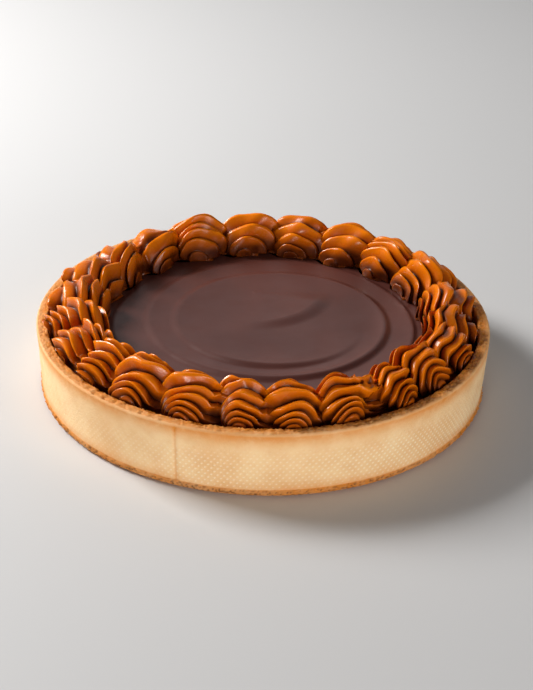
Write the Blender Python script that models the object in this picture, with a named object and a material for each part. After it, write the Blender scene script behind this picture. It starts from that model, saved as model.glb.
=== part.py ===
"""A whole chocolate tart, 232 mm across its rim.

A straight-sided crust cup holds set ganache with a spatula swirl on top. A ring of 23 piped
shells sits on the ganache inside the rim. Each shell is one body: a round head whose ridges
turn over it, and a tail that dips and tucks under the next head.
Metres, +Z up, origin under the middle of the base.
"""

import math

import bmesh
import bpy
import numpy as np

# Crust cup
HEIGHT = 0.035
FOOT_RADIUS = 0.114
RIM_RADIUS = 0.116
WALL = 0.006
FLOOR = 0.004
CRUST_SIDES = 96
FOOT_BEVEL = 0.0022
BAND_HEIGHT = 0.0034
BAND_OUT = 0.0006
BAND_CRAG = 0.0007
RIM_BEVEL = 0.0012
RIM_SHOULDER = 0.0025
RIM_CRUMB = 0.00035

# Ganache
GAP = 0.0003
GANACHE_TOP = 0.029
GANACHE_SIDES = 48
GANACHE_RINGS = 17
SWIRL_CENTRE = (0.0055, 0.005)
SWIRL_FIRST_ARM = 0.045
SWIRL_STEP = 0.009
SWIRL_STEP_GROWTH = 0.0026
SWIRL_RISE = 0.00125
SWIRL_DROP = 0.0050
SWIRL_START_TURN = 0.30
SWIRL_LIMIT = 0.0795
SWIRL_FADE = 0.0030
SWIRL_HUB = 0.0040
SWIRL_TURNS = 4
HOOK_CENTRE = (-0.0062, 0.0376)
HOOK_RADIUS = 0.0351
HOOK_RISE = 0.0012
HOOK_BANK = 0.014
HOOK_DROP = 0.009
HOOK_ARC_DEG = (-105.0, 5.0)

# Piped shells: where each one starts, in degrees counterclockwise round the tart
SHELL_STARTS_DEG = (
    304.0, 315.8, 330.3, 345.0, 360.0, 376.0, 394.0, 411.0, 428.0, 445.6, 464.0, 482.5,
    498.0, 513.0, 528.0, 544.0, 558.5, 572.5, 587.0, 602.6, 618.0, 631.0, 645.3,
)
PIPING_RADIUS = 0.095
PIPING_INSIDE_LIMIT = 0.1097
RIM_CLEARANCE = 0.0026
OVERHANG_SLOPE = 1.0
UNDERCUT = 0.002
NOMINAL_PITCH = 0.0237
HALF_WIDTH = 0.0146
HEAD_ALONG = 0.0120
HEAD_UP = 0.0082
HEAD_STRETCH = 1.10
INNER_DROP = 0.0035
OUTER_DROP = 0.0045
HEAD_RADIUS = 0.0113
HEAD_END_DEG = 42.0
UNDERSIDE_CLEARANCE = 0.0005
STEEPEST_UNDERSIDE = 0.97
OUTER_RECESS = 0.47
DIP_RADIUS = 0.0130
DIP_END_DEG = 100.0
TAIL_RUN = 0.0050
TAIL_LIFT = 0.0020
TAIL_SLIMMING = 0.20
INWARD_TILT = 0.18
INWARD_FULLNESS = 0.15
INNER_NARROWING = 0.34
OUTER_NARROWING = 0.20
RIDGES = 7
RIDGE_WARP = 1.4
RIDGE_DEPTH = 0.0038
RIDGE_UNEVENNESS = (0.35, 1.15)
RIPPLE = 0.0005
RIPPLE_WAVES = 300.0
INNER_FOOT_INSET = 0.97
OUTER_FOOT_INSET = 0.70
FOOT_ALONG = (0.0095, 0.0285)
OVERHANG = 0.20
OVERHANG_DEG = 1.0
OVERHANG_SPREAD_DEG = 26.0
TORN_SIZE = (1.02, 1.04)
TORN_AFTER = 0.019
TORN_PULL = 0.9
TORN_SHARPNESS = 1.2
TORN_FADE = 0.004
TORN_PEAKS = (
    # along, across, height, spread
    (0.0180, -0.0010, 0.0042, 0.0022),
    (0.0215, 0.0050, 0.0040, 0.0020),
    (0.0250, 0.0010, 0.0052, 0.0022),
)

# Stations along the head, the dip and the tail of one shell, and of the torn last one
STATIONS = (6, 3, 1)
TORN_STATIONS = (6, 4, 4)


def smooth(x):
    """Ease from 0 to 1."""
    x = np.clip(x, 0.0, 1.0)
    return x * x * (3.0 - 2.0 * x)


def clear_scene():
    """Remove every object that the file starts with."""
    for thing in list(bpy.data.objects):
        bpy.data.objects.remove(thing)


def new_material(name, colour, roughness):
    """Principled material of one colour."""
    material = bpy.data.materials.new(name)
    material.use_nodes = True
    shader = material.node_tree.nodes["Principled BSDF"]
    shader.inputs["Base Color"].default_value = (*colour, 1.0)
    shader.inputs["Roughness"].default_value = roughness
    shader.inputs["Metallic"].default_value = 0.0
    return material


def new_object(name, points, faces, material, sharp_deg=50.0):
    """Closed mesh object from points and faces, its normals out and its doubles merged."""
    mesh = bpy.data.meshes.new(name)
    mesh.from_pydata([tuple(map(float, p)) for p in points], [], faces)
    work = bmesh.new()
    work.from_mesh(mesh)
    bmesh.ops.remove_doubles(work, verts=work.verts, dist=1e-6)
    bmesh.ops.triangulate(work, faces=work.faces)
    bmesh.ops.recalc_face_normals(work, faces=work.faces)
    work.to_mesh(mesh)
    work.free()
    mesh.shade_smooth()
    mesh.set_sharp_from_angle(angle=math.radians(sharp_deg))
    mesh.materials.append(material)
    thing = bpy.data.objects.new(name, mesh)
    bpy.context.collection.objects.link(thing)
    return thing


def ring_faces(first, second, count):
    """Quads between two rings of the same number of points."""
    return [
        (first + i, first + (i + 1) % count, second + (i + 1) % count, second + i)
        for i in range(count)
    ]


def turned(rows, sides, cap_first, cap_last):
    """Points and faces of rings stacked along a profile; each row gives radius and height round."""
    turn = np.linspace(0.0, 2.0 * math.pi, sides, endpoint=False)
    points = []
    for radius, height in rows:
        radius = np.broadcast_to(radius, turn.shape)
        height = np.broadcast_to(height, turn.shape)
        points.extend(zip(radius * np.cos(turn), radius * np.sin(turn), height))
    faces = []
    for row in range(len(rows) - 1):
        faces.extend(ring_faces(row * sides, (row + 1) * sides, sides))
    for wanted, row, height in ((cap_first, 0, rows[0][1]), (cap_last, len(rows) - 1, rows[-1][1])):
        if wanted:
            points.append((0.0, 0.0, float(np.mean(height))))
            hub = len(points) - 1
            faces.extend((row * sides + i, row * sides + (i + 1) % sides, hub) for i in range(sides))
    return points, faces


def make_crust():
    """Straight-sided cup with a crumbly foot band and a grainy rim."""
    rng = np.random.default_rng(7)

    def crag(size):
        return rng.uniform(-size, size, CRUST_SIDES)

    inside = RIM_RADIUS - WALL
    rows = (
        (FOOT_RADIUS - FOOT_BEVEL, 0.0),
        (FOOT_RADIUS - BAND_OUT + crag(BAND_CRAG) * 0.6, 0.25 * BAND_HEIGHT + crag(0.5 * BAND_CRAG)),
        (FOOT_RADIUS + BAND_OUT + crag(BAND_CRAG), 0.55 * BAND_HEIGHT + crag(0.5 * BAND_CRAG)),
        (FOOT_RADIUS + 0.5 * BAND_OUT, BAND_HEIGHT + crag(0.7 * BAND_CRAG)),
        (RIM_RADIUS, HEIGHT - RIM_BEVEL),
        (RIM_RADIUS - 0.5 * RIM_BEVEL, HEIGHT - 0.25 * RIM_BEVEL + crag(0.3 * RIM_CRUMB)),
        (RIM_RADIUS - RIM_SHOULDER + crag(RIM_CRUMB), HEIGHT - RIM_CRUMB + crag(RIM_CRUMB)),
        (inside + RIM_BEVEL + crag(RIM_CRUMB), HEIGHT - RIM_CRUMB + crag(RIM_CRUMB)),
        (inside, HEIGHT - RIM_BEVEL + crag(RIM_CRUMB)),
        (inside, FLOOR),
    )
    points, faces = turned(rows, CRUST_SIDES, True, True)
    return new_object("crust", points, faces, new_material("shortcrust", (0.76, 0.47, 0.21), 0.85))


def arm_radius(turns):
    """Distance of the swirl's edge from its centre after so many clockwise turns."""
    return SWIRL_FIRST_ARM + SWIRL_STEP * turns + SWIRL_STEP_GROWTH * turns**2


def spiral_relief(x, y):
    """Terraces left by a spatula that winds out clockwise from the middle, highest at each edge."""
    dx = x - SWIRL_CENTRE[0]
    dy = y - SWIRL_CENTRE[1]
    radius = np.hypot(dx, dy)
    part = (-np.arctan2(dy, dx) / (2.0 * math.pi)) % 1.0
    relief = np.zeros_like(radius)
    for whole in range(SWIRL_TURNS):
        turns = part + whole
        edge = arm_radius(turns)
        first = edge - (1.0 - part) * SWIRL_FIRST_ARM * 0.5 - part * (SWIRL_STEP + SWIRL_STEP_GROWTH)
        inner = arm_radius(turns - 1.0) if whole else first
        strength = smooth(turns / SWIRL_START_TURN)
        bank = np.clip((radius - inner) / (edge - inner), 0.0, 1.0)
        rising = np.where((radius > inner) & (radius <= edge), 0.25 * bank + 0.75 * bank**3, 0.0)
        falling = np.where(radius > edge, 1.0 - smooth((radius - edge) / SWIRL_DROP), 0.0)
        relief = np.maximum(relief, strength * (rising + falling))
    return SWIRL_RISE * relief


def hook_relief(x, y):
    """Crescent crease where the spatula was lifted off, near the middle."""
    dx = x - HOOK_CENTRE[0]
    dy = y - HOOK_CENTRE[1]
    off = np.hypot(dx, dy) - HOOK_RADIUS
    angle = np.degrees(np.arctan2(dy, dx))
    along = (angle - HOOK_ARC_DEG[0]) / (HOOK_ARC_DEG[1] - HOOK_ARC_DEG[0])
    strength = smooth(along * 2.2) * smooth((1.0 - along) * 4.0)
    bank = np.where(off < 0.0, np.exp(off / HOOK_BANK), 1.0 - smooth(off / HOOK_DROP))
    return HOOK_RISE * strength * bank


def ganache_height(x, y):
    """Height of the ganache: level under the piping, swirled inside it."""
    fade = smooth((SWIRL_LIMIT - np.hypot(x, y)) / SWIRL_FADE)
    return GANACHE_TOP + fade * (spiral_relief(x, y) + hook_relief(x, y))


def make_ganache():
    """Set filling that fills the cup to just below the rim."""
    outer = RIM_RADIUS - WALL - GAP
    turn = np.linspace(0.0, 2.0 * math.pi, GANACHE_SIDES, endpoint=False)
    rows = [(outer, FLOOR + GAP), (outer, GANACHE_TOP)]
    for radius in np.linspace(SWIRL_LIMIT, SWIRL_HUB, GANACHE_RINGS):
        rows.append((radius, ganache_height(radius * np.cos(turn), radius * np.sin(turn))))
    points, faces = turned(rows, GANACHE_SIDES, True, True)
    material = new_material("ganache", (0.045, 0.02, 0.014), 0.3)
    return new_object("ganache", points, faces, material, 30.0)


class Shell:
    """One piped shell, worked out along the ring, up from the ganache and across the ring."""

    def __init__(self, index):
        """Take the start and the pitch from the ring, and draw this shell's own unevenness."""
        ends = SHELL_STARTS_DEG + (SHELL_STARTS_DEG[0] + 360.0,)
        rng = np.random.default_rng(40 + index)
        self.start = math.radians(ends[index])
        self.pitch = math.radians(ends[index + 1] - ends[index]) * PIPING_RADIUS
        self.torn = index == len(SHELL_STARTS_DEG) - 1
        stretch = self.pitch / NOMINAL_PITCH
        self.long, tall = TORN_SIZE if self.torn else (stretch, stretch**0.35)
        self.tall = tall * (1.0 + rng.uniform(-0.03, 0.03))
        self.wide = 1.0 + rng.uniform(-0.04, 0.02)
        self.lean = rng.uniform(-0.08, 0.08)
        self.skew = rng.uniform(-0.12, 0.12)
        self.wave = rng.uniform(0.0, 2.0 * math.pi, 2)
        self.shift = rng.uniform(-0.14, 0.14)
        self.grooves = rng.uniform(*RIDGE_UNEVENNESS, RIDGES + 1)
        off = (math.degrees(self.start) - OVERHANG_DEG + 180.0) % 360.0 - 180.0
        self.overhang = 1.0 + OVERHANG * math.exp(-(off / OVERHANG_SPREAD_DEG) ** 2)

    def stations(self):
        """How many rows the shell has along its head, its dip and its tail."""
        return TORN_STATIONS if self.torn else STATIONS

    def section_radius(self, phi, tail):
        """Distance of the ridge tops from the centre line, for an angle across the section."""
        slim = 1.0 - TAIL_SLIMMING * smooth((tail - 0.5) / 0.5)
        squareness = 1.0 - INWARD_FULLNESS * np.clip(np.cos(phi), 0.0, 1.0)
        return (HEAD_RADIUS * slim * np.clip(np.sin(phi), 0.0, 1.0) ** squareness
                * (1.0 + INWARD_TILT * np.cos(phi)))

    def offset_across(self, phi, tail):
        """Distance across the ring from its middle line, less toward the tail."""
        inward = np.cos(phi)
        narrowing = np.where(inward > 0.0, INNER_NARROWING, OUTER_NARROWING)
        return -HALF_WIDTH * self.wide * inward * (1.0 - narrowing * smooth(tail))

    def centre_up(self, phi):
        """Height of the centre that the head's ridges turn about, lower at both sides."""
        lean = np.cos(phi)
        return HEAD_UP - INNER_DROP * np.clip(lean, 0.0, 1.0) - OUTER_DROP * np.clip(-lean, 0.0, 1.0)

    def path(self, phi, head, dip, tail):
        """Centre along, centre up, angle of the section and share of the tail, station by station."""
        turn_end = math.radians(HEAD_END_DEG)
        dip_end = math.radians(DIP_END_DEG)
        middle = self.centre_up(phi)
        reach = np.maximum(self.section_radius(phi, 0.0), 1e-6)
        steepest = STEEPEST_UNDERSIDE + OUTER_RECESS * np.clip(np.cos(phi), -1.0, 0.0)
        dive = np.minimum((middle - UNDERSIDE_CLEARANCE) / reach, steepest)
        turn_start = math.pi + np.arcsin(dive)
        rows = []
        for step in np.linspace(0.0, 1.0, head):
            rows.append((HEAD_ALONG, middle, turn_start + (turn_end - turn_start) * step, 0.0))
        pivot_along = HEAD_ALONG + HEAD_STRETCH * DIP_RADIUS * math.cos(turn_end)
        pivot_up = middle + DIP_RADIUS * math.sin(turn_end)
        for step in np.linspace(0.0, 1.0, dip + 1)[1:]:
            angle = turn_end + (dip_end - turn_end) * step
            along = pivot_along - HEAD_STRETCH * DIP_RADIUS * math.cos(angle)
            rows.append((along, pivot_up - DIP_RADIUS * math.sin(angle), angle, 0.7 * step))
        along, up = rows[-1][:2]
        for step in np.linspace(0.0, 1.0, tail + 1)[1:]:
            climb = TAIL_LIFT * smooth(step) - TAIL_RUN * step * math.cos(dip_end)
            rows.append((along + TAIL_RUN * step * math.sin(dip_end), up + climb, dip_end, 0.7 + 0.3 * step))
        return [np.vstack([np.broadcast_to(row[i], phi.shape) for row in rows]) for i in range(4)]

    def surface(self, head, dip, tail, per_ridge):
        """Grid of points over the shell: one row for each station, from inner to outer side."""
        share = np.linspace(0.0, 1.0, RIDGES * per_ridge + 1)
        phi = math.pi * share ** (1.0 / RIDGE_WARP)
        phi = phi + self.shift * np.sin(phi) ** 2
        centre_along, centre_up, angle, down_tail = self.path(phi, head, dip, tail)
        depth = RIDGE_DEPTH / HEAD_RADIUS * np.interp(RIDGES * share, np.arange(RIDGES + 1), self.grooves)
        groove = 1.0 - np.abs(np.sin(math.pi * RIDGES * share))
        cut = depth * groove * (1.1 - 0.4 * share) * (1.0 - 0.35 * down_tail)
        reach = self.section_radius(phi, down_tail) * (1.0 - cut)
        across = self.offset_across(phi, down_tail) * (1.0 - 0.5 * cut * np.sin(phi))
        along = centre_along + HEAD_STRETCH * reach * np.cos(angle)
        return along, centre_up + reach * np.sin(angle), across

    def bent(self, along, up, across):
        """Uneven form, then bend round the tart: returns points with x, y, z last."""
        across = across + self.lean * up + self.skew * (along - HEAD_ALONG)
        across = across + RIPPLE * np.sin(RIPPLE_WAVES * (along + 0.8 * up) + self.wave[0])
        across = np.where(across > 0.0, across * self.overhang, across)
        ripple = RIPPLE * np.sin(RIPPLE_WAVES * (along + across) + self.wave[1])
        up = up + ripple * np.clip(up / HEAD_UP, 0.0, 1.0)
        if self.torn:
            for at, side, height, spread in TORN_PEAKS:
                away = np.hypot(along - at, across - side) / spread
                up = up + height * np.exp(-away * TORN_SHARPNESS) * smooth((up - HEAD_UP) / TORN_FADE)
            along = along + TORN_PULL * np.clip(along - TORN_AFTER, 0.0, None)
        angle = self.start + along * self.long / PIPING_RADIUS
        z = GANACHE_TOP + GAP + np.maximum(up * self.tall, 0.0)
        room = OVERHANG_SLOPE * np.maximum(z - HEIGHT - RIM_CLEARANCE, 0.0)
        radius = np.minimum(PIPING_RADIUS + across, PIPING_INSIDE_LIMIT + room)
        return np.stack([radius * np.cos(angle), radius * np.sin(angle), z], axis=-1)

    def mesh(self):
        """Points and faces of the closed shell, tail and all."""
        along, up, across = self.surface(*self.stations(), 2)
        stations, width = along.shape
        foot = np.linspace(*FOOT_ALONG, stations)[:, None]
        floor = np.zeros_like(foot)
        along = np.hstack([along, foot, foot])
        up = np.hstack([up, floor, floor])
        outer_foot = across[:, -1:] * OUTER_FOOT_INSET
        inner_foot = across[:, :1] * INNER_FOOT_INSET
        across = np.hstack([across, outer_foot, inner_foot])
        points = self.bent(along, up, across).reshape(-1, 3)
        count = width + 2
        faces = []
        for row in range(stations - 1):
            faces.extend(ring_faces(row * count, (row + 1) * count, count))
        for row in (0, (stations - 1) * count):
            middle = width // 2
            outer_foot, inner_foot = row + width, row + width + 1
            for i in range(width - 1):
                hub = inner_foot if i < middle else outer_foot
                faces.append((row + i, row + i + 1, hub))
            faces.append((row + middle, outer_foot, inner_foot))
        return points, faces

    def head_room(self):
        """Points and faces of the space that the head takes, a gap larger, down past the floor."""
        arc = np.radians(np.linspace(0.0, 180.0, 11))
        phi = np.radians(np.linspace(8.0, 172.0, 9))
        swell = 1.02 / math.cos(arc[1] / 2.0)
        reach = (self.section_radius(phi, 0.0) * swell + 1.3 * GAP)[:, None]
        across = (self.offset_across(phi, 0.0) * 1.03 - GAP * np.cos(phi))[:, None]
        ends = np.array([[-1.0, 1.0]])
        along = HEAD_ALONG + HEAD_STRETCH * np.hstack([reach * np.cos(arc), reach * ends])
        middle = self.centre_up(phi)[:, None]
        below = np.full((len(phi), 2), -UNDERCUT)
        up = np.hstack([middle + reach * np.sin(arc), below])
        points = self.bent(along, up, np.broadcast_to(across, along.shape))
        points[..., 2] = np.where(up < 0.0, GANACHE_TOP - UNDERCUT, points[..., 2])
        count = along.shape[1]
        faces = []
        for row in range(len(phi) - 1):
            faces.extend(ring_faces(row * count, (row + 1) * count, count))
        faces.append(tuple(range(count)))
        faces.append(tuple(range((len(phi) - 1) * count, len(phi) * count)))
        return points.reshape(-1, 3), faces


def make_shells():
    """All piped shells, each tail cut back to a hair's gap from the next head."""
    material = new_material("caramel", (0.55, 0.16, 0.015), 0.3)
    shells = [Shell(i) for i in range(len(SHELL_STARTS_DEG))]
    things = []
    for i, shell in enumerate(shells):
        thing = new_object(f"shell_{i + 1:02d}", *shell.mesh(), material, 60.0)
        follower = shells[(i + 1) % len(shells)]
        room = new_object(f"room_{i + 1:02d}", *follower.head_room(), material)
        room.hide_render = True
        room.display_type = "WIRE"
        cut = thing.modifiers.new("tuck under the next head", "BOOLEAN")
        cut.operation = "DIFFERENCE"
        cut.object = room
        things.append(thing)
    return things


def main():
    """Build the tart."""
    clear_scene()
    make_crust()
    make_ganache()
    make_shells()


main()
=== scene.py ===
import logging
import math
from dataclasses import dataclass, field
from enum import Enum, IntEnum

import bpy
import numpy as np
from mathutils import Matrix, Vector


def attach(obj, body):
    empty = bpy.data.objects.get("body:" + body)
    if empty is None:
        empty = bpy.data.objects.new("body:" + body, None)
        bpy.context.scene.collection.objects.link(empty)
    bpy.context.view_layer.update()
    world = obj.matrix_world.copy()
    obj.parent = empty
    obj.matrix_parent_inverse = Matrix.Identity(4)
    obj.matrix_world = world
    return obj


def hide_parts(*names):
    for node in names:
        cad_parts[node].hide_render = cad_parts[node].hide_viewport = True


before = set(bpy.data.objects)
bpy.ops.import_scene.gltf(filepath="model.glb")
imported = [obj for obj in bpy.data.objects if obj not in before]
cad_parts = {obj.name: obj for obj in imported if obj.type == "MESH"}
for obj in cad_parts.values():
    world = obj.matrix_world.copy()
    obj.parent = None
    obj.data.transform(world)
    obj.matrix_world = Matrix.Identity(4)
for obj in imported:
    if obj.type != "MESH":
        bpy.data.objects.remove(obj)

LOG = logging.getLogger("tart")
MM = 0.001


class Ending(Enum):
    """How a piped shell ends."""

    TUCKED = "tucked under the next head"
    TORN = "pulled off and left torn"


class Zone(Enum):
    """Part of the crust that a row of points lies on."""

    FOOT = "crumbly foot"
    WALL = "dotted wall"
    LIP = "outer edge of the rim"
    RIM = "top of the rim"
    INSIDE = "inner side"


class Seed(IntEnum):
    """Starting numbers of the random draws, one for each use."""

    SPATULA = 3
    DOTS = 5
    WALL = 9
    CRUMB = 11
    TOAST = 21
    STAIN = 33
    SHELL = 40
    TORN_ASIDE = 61
    TORN_AHEAD = 62
    TORN_FOLDS = 63
    DRIFT = 90
    PROUD = 170
    DEPTH = 200
    RIDGES = 500


def smooth(x: np.ndarray | float) -> np.ndarray:
    """Ease from 0 to 1."""
    x = np.clip(x, 0.0, 1.0)
    return x * x * (3.0 - 2.0 * x)


def wobble(seed: int, *coordinates: np.ndarray, waves: int = 4) -> np.ndarray:
    """Smooth uneven field between about -1 and 1.

    Args:
        seed: picks the waves, the same each run.
        coordinates: arrays of one shape, in units of the size of a typical bump.
        waves: how many sine waves are laid over each other.

    Returns:
        The field's value at each point.
    """
    rng = np.random.default_rng(seed)
    total = np.zeros_like(coordinates[0], dtype=float)
    for _ in range(waves):
        direction = rng.normal(size=len(coordinates))
        direction *= rng.uniform(0.7, 1.5) / np.linalg.norm(direction)
        phase = rng.uniform(0.0, 2.0 * math.pi)
        total = total + np.sin(2.0 * sum(d * c for d, c in zip(direction, coordinates)) + phase)
    return total / math.sqrt(2.0 * waves)


def ring_quads(rows: int, count: int) -> np.ndarray:
    """Quads between rings of points stacked row after row.

    Args:
        rows: number of rings.
        count: points in a ring.

    Returns:
        Four point indices for each face.
    """
    row, column = np.meshgrid(np.arange(rows - 1), np.arange(count), indexing="ij")
    after = (column + 1) % count
    low, high = row * count, (row + 1) * count
    quads = np.stack([low + column, low + after, high + after, high + column], axis=-1)
    return quads.reshape(-1, 4)


def cap_fan(ring: np.ndarray, hub: int, flip: bool) -> np.ndarray:
    """Triangles that close a ring of points.

    Args:
        ring: point indices round the ring.
        hub: index of the point in the middle.
        flip: turns the faces over.

    Returns:
        Three point indices for each face.
    """
    after = np.roll(ring, -1)
    pair = (after, ring) if flip else (ring, after)
    return np.stack([*pair, np.full_like(ring, hub)], axis=-1)


def new_piece(name: str, points: np.ndarray, count: int, hubs: np.ndarray,
              finish: bpy.types.Material, marks: dict[str, np.ndarray] | None = None) -> bpy.types.Object:
    """Closed smooth mesh object from rings of points stacked row after row.

    Args:
        name: the piece's name.
        points: x, y, z of each point in metres, ring after ring.
        count: points in a ring.
        hubs: the points that close the first and the last ring.
        finish: the piece's material.
        marks: named values that the finish reads, one for each point and hub.

    Returns:
        The new object, linked to the scene.
    """
    size = len(points)
    ring = np.arange(count)
    faces = ring_quads(size // count, count).tolist() + cap_fan(ring, size, True).tolist()
    faces += cap_fan(ring + size - count, size + 1, False).tolist()
    mesh = bpy.data.meshes.new(name)
    mesh.from_pydata(np.vstack([points, hubs]).tolist(), [], faces)
    for mark, values in (marks or {}).items():
        layer = mesh.attributes.new(mark, "FLOAT", "POINT")
        layer.data.foreach_set("value", np.asarray(values, dtype=np.float32).ravel())
    mesh.shade_smooth()
    mesh.materials.append(finish)
    thing = bpy.data.objects.new(name, mesh)
    bpy.context.collection.objects.link(thing)
    return thing


class Wiring:
    """Small helper that adds and joins the nodes of one material."""

    def __init__(self, name: str) -> None:
        """Start an empty node material with one Principled shader.

        Args:
            name: the material's name.
        """
        self.material = bpy.data.materials.new(name)
        self.material.use_nodes = True
        self.tree = self.material.node_tree
        self.shader = self.tree.nodes["Principled BSDF"]

    def node(self, kind: str, **values: object) -> bpy.types.Node:
        """Add a node.

        Args:
            kind: the node type without its "ShaderNode" prefix.
            values: properties of the node.

        Returns:
            The new node.
        """
        made = self.tree.nodes.new("ShaderNode" + kind)
        for key, value in values.items():
            setattr(made, key, value)
        return made

    def feed(self, socket: bpy.types.NodeSocket, source: object) -> None:
        """Link a socket to another one, or set its value.

        Args:
            socket: the input to fill.
            source: an output socket, a number or a colour.
        """
        if isinstance(source, bpy.types.NodeSocket):
            self.tree.links.new(source, socket)
        elif isinstance(source, tuple) and len(source) == 3 and socket.type == "RGBA":
            socket.default_value = (*source, 1.0)
        else:
            socket.default_value = source

    def shade(self, **values: object) -> None:
        """Fill inputs of the shader, named with _ for spaces.

        Args:
            values: an output socket, a number or a colour for each input.
        """
        for key, value in values.items():
            self.feed(self.shader.inputs[key.replace("_", " ")], value)

    def mark(self, name: str) -> bpy.types.NodeSocket:
        """Read a value that the mesh carries at each point.

        Args:
            name: the mark's name.

        Returns:
            The value's socket.
        """
        return self.node("Attribute", attribute_name=name).outputs["Fac"]

    def noise(self, scale: float, detail: float = 3.0, roughness: float = 0.5) -> bpy.types.NodeSocket:
        """Cloudy noise from 0 to 1, by the place on the piece.

        Args:
            scale: bumps a metre.
            detail: how many finer layers there are.
            roughness: strength of the finer layers.

        Returns:
            The noise value's socket.
        """
        made = self.node("TexNoise")
        self.feed(made.inputs["Vector"], self.node("TexCoord").outputs["Object"])
        made.inputs["Scale"].default_value = scale
        made.inputs["Detail"].default_value = detail
        made.inputs["Roughness"].default_value = roughness
        return made.outputs["Fac"]

    def spread(self, value: object, low: float, high: float, out_low: float = 0.0,
               out_high: float = 1.0) -> bpy.types.NodeSocket:
        """Map a value from one range to another, clamped and eased.

        Args:
            value: the value's socket.
            low: input that gives out_low.
            high: input that gives out_high.
            out_low: lowest output.
            out_high: highest output.

        Returns:
            The mapped value's socket.
        """
        made = self.node("MapRange", interpolation_type="SMOOTHSTEP")
        limits = (("From Min", low), ("From Max", high), ("To Min", out_low), ("To Max", out_high))
        for key, number in limits:
            made.inputs[key].default_value = number
        self.feed(made.inputs["Value"], value)
        return made.outputs["Result"]

    def math(self, operation: str, first: object, second: object) -> bpy.types.NodeSocket:
        """Arithmetic on two values.

        Args:
            operation: the Math node's operation.
            first: a socket or a number.
            second: a socket or a number.

        Returns:
            The result's socket.
        """
        made = self.node("Math", operation=operation)
        self.feed(made.inputs[0], first)
        self.feed(made.inputs[1], second)
        return made.outputs[0]

    def blend(self, share: object, first: object, second: object) -> bpy.types.NodeSocket:
        """Mix two colours.

        Args:
            share: 0 gives the first colour and 1 the second.
            first: a socket or a colour.
            second: a socket or a colour.

        Returns:
            The mixed colour's socket.
        """
        made = self.node("Mix", data_type="RGBA")
        self.feed(made.inputs[0], share)
        self.feed(made.inputs[6], first)
        self.feed(made.inputs[7], second)
        return made.outputs[2]

    def relief(self, height: bpy.types.NodeSocket, depth: float,
               under: bpy.types.NodeSocket | None = None) -> bpy.types.NodeSocket:
        """Fine bumps as a bent normal.

        Args:
            height: the height's socket, from 0 to 1.
            depth: height of the bumps in metres.
            under: a normal that the bumps lie on.

        Returns:
            The normal's socket.
        """
        made = self.node("Bump")
        made.inputs["Distance"].default_value = depth
        self.feed(made.inputs["Height"], height)
        if under is not None:
            self.feed(made.inputs["Normal"], under)
        return made.outputs["Normal"]


@dataclass(frozen=True)
class Shortcrust:
    """Baked shortcrust: pale golden wall, toasted rim and foot, caramel stains on the rim, paler raised dots
    that are partly painted highlight, and painted shade in the foot's pits.
    """

    pale: tuple[float, float, float] = (0.90, 0.64, 0.35)
    golden: tuple[float, float, float] = (0.82, 0.51, 0.245)
    toasted: tuple[float, float, float] = (0.68, 0.225, 0.018)
    dot_tone_and_highlight: tuple[float, float, float] = (1.0, 0.92, 0.70)
    dark: tuple[float, float, float] = (0.13, 0.045, 0.012)
    stain: tuple[float, float, float] = (0.36, 0.105, 0.008)
    cloud_scale: float = 38.0
    speck_scale: float = 420.0
    speck_share: float = 0.12
    dot_share: float = 0.95
    toast_scale: float = 230.0
    least_toast: float = 0.76
    crumb_scale: float = 900.0
    crumb_depth: float = 0.25 * MM
    pore_scale: float = 2600.0
    pore_depth: float = 0.12 * MM
    roughness: float = 0.72
    wet_roughness: float = 0.28
    specular: float = 0.35
    glow: float = 0.12
    glow_radius: tuple[float, float, float] = (4.0 * MM, 2.0 * MM, 1.0 * MM)
    glow_scale: float = 0.6

    def material(self) -> bpy.types.Material:
        """Build the node material.

        Returns:
            The finished material.
        """
        w = Wiring("shortcrust_baked")
        cloud = w.noise(self.cloud_scale, 4.0, 0.6)
        base = w.blend(w.spread(cloud, 0.35, 0.65), self.pale, self.golden)
        speck = w.spread(w.noise(self.speck_scale, 2.0, 0.55), 0.56, 0.75)
        base = w.blend(w.math("MULTIPLY", speck, self.speck_share), base, self.toasted)
        # Paler raised dots: partly the dough's own paler tone, partly painted highlight on the dot tops.
        base = w.blend(w.math("MULTIPLY", w.mark("dot"), self.dot_share), base, self.dot_tone_and_highlight)
        patches = w.spread(w.noise(self.toast_scale, 4.0, 0.65), 0.3, 0.6, self.least_toast, 1.0)
        base = w.blend(w.math("MULTIPLY", w.mark("toast"), patches), base, self.toasted)
        # Dark foot: the foot's own browning plus painted shade in the pits of its crumb.
        base = w.blend(w.mark("char_and_pit_shade"), base, self.dark)
        wet = w.mark("stain")
        base = w.blend(wet, base, self.stain)
        w.shade(Base_Color=base, Roughness=w.spread(wet, 0.2, 0.8, self.roughness, self.wet_roughness))
        w.shade(Specular_IOR_Level=self.specular, Subsurface_Weight=self.glow,
                Subsurface_Radius=self.glow_radius, Subsurface_Scale=self.glow_scale)
        pores = w.relief(w.noise(self.pore_scale, 2.0), self.pore_depth)
        w.shade(Normal=w.relief(w.noise(self.crumb_scale, 3.0, 0.6), self.crumb_depth, pores))
        return w.material


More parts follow.
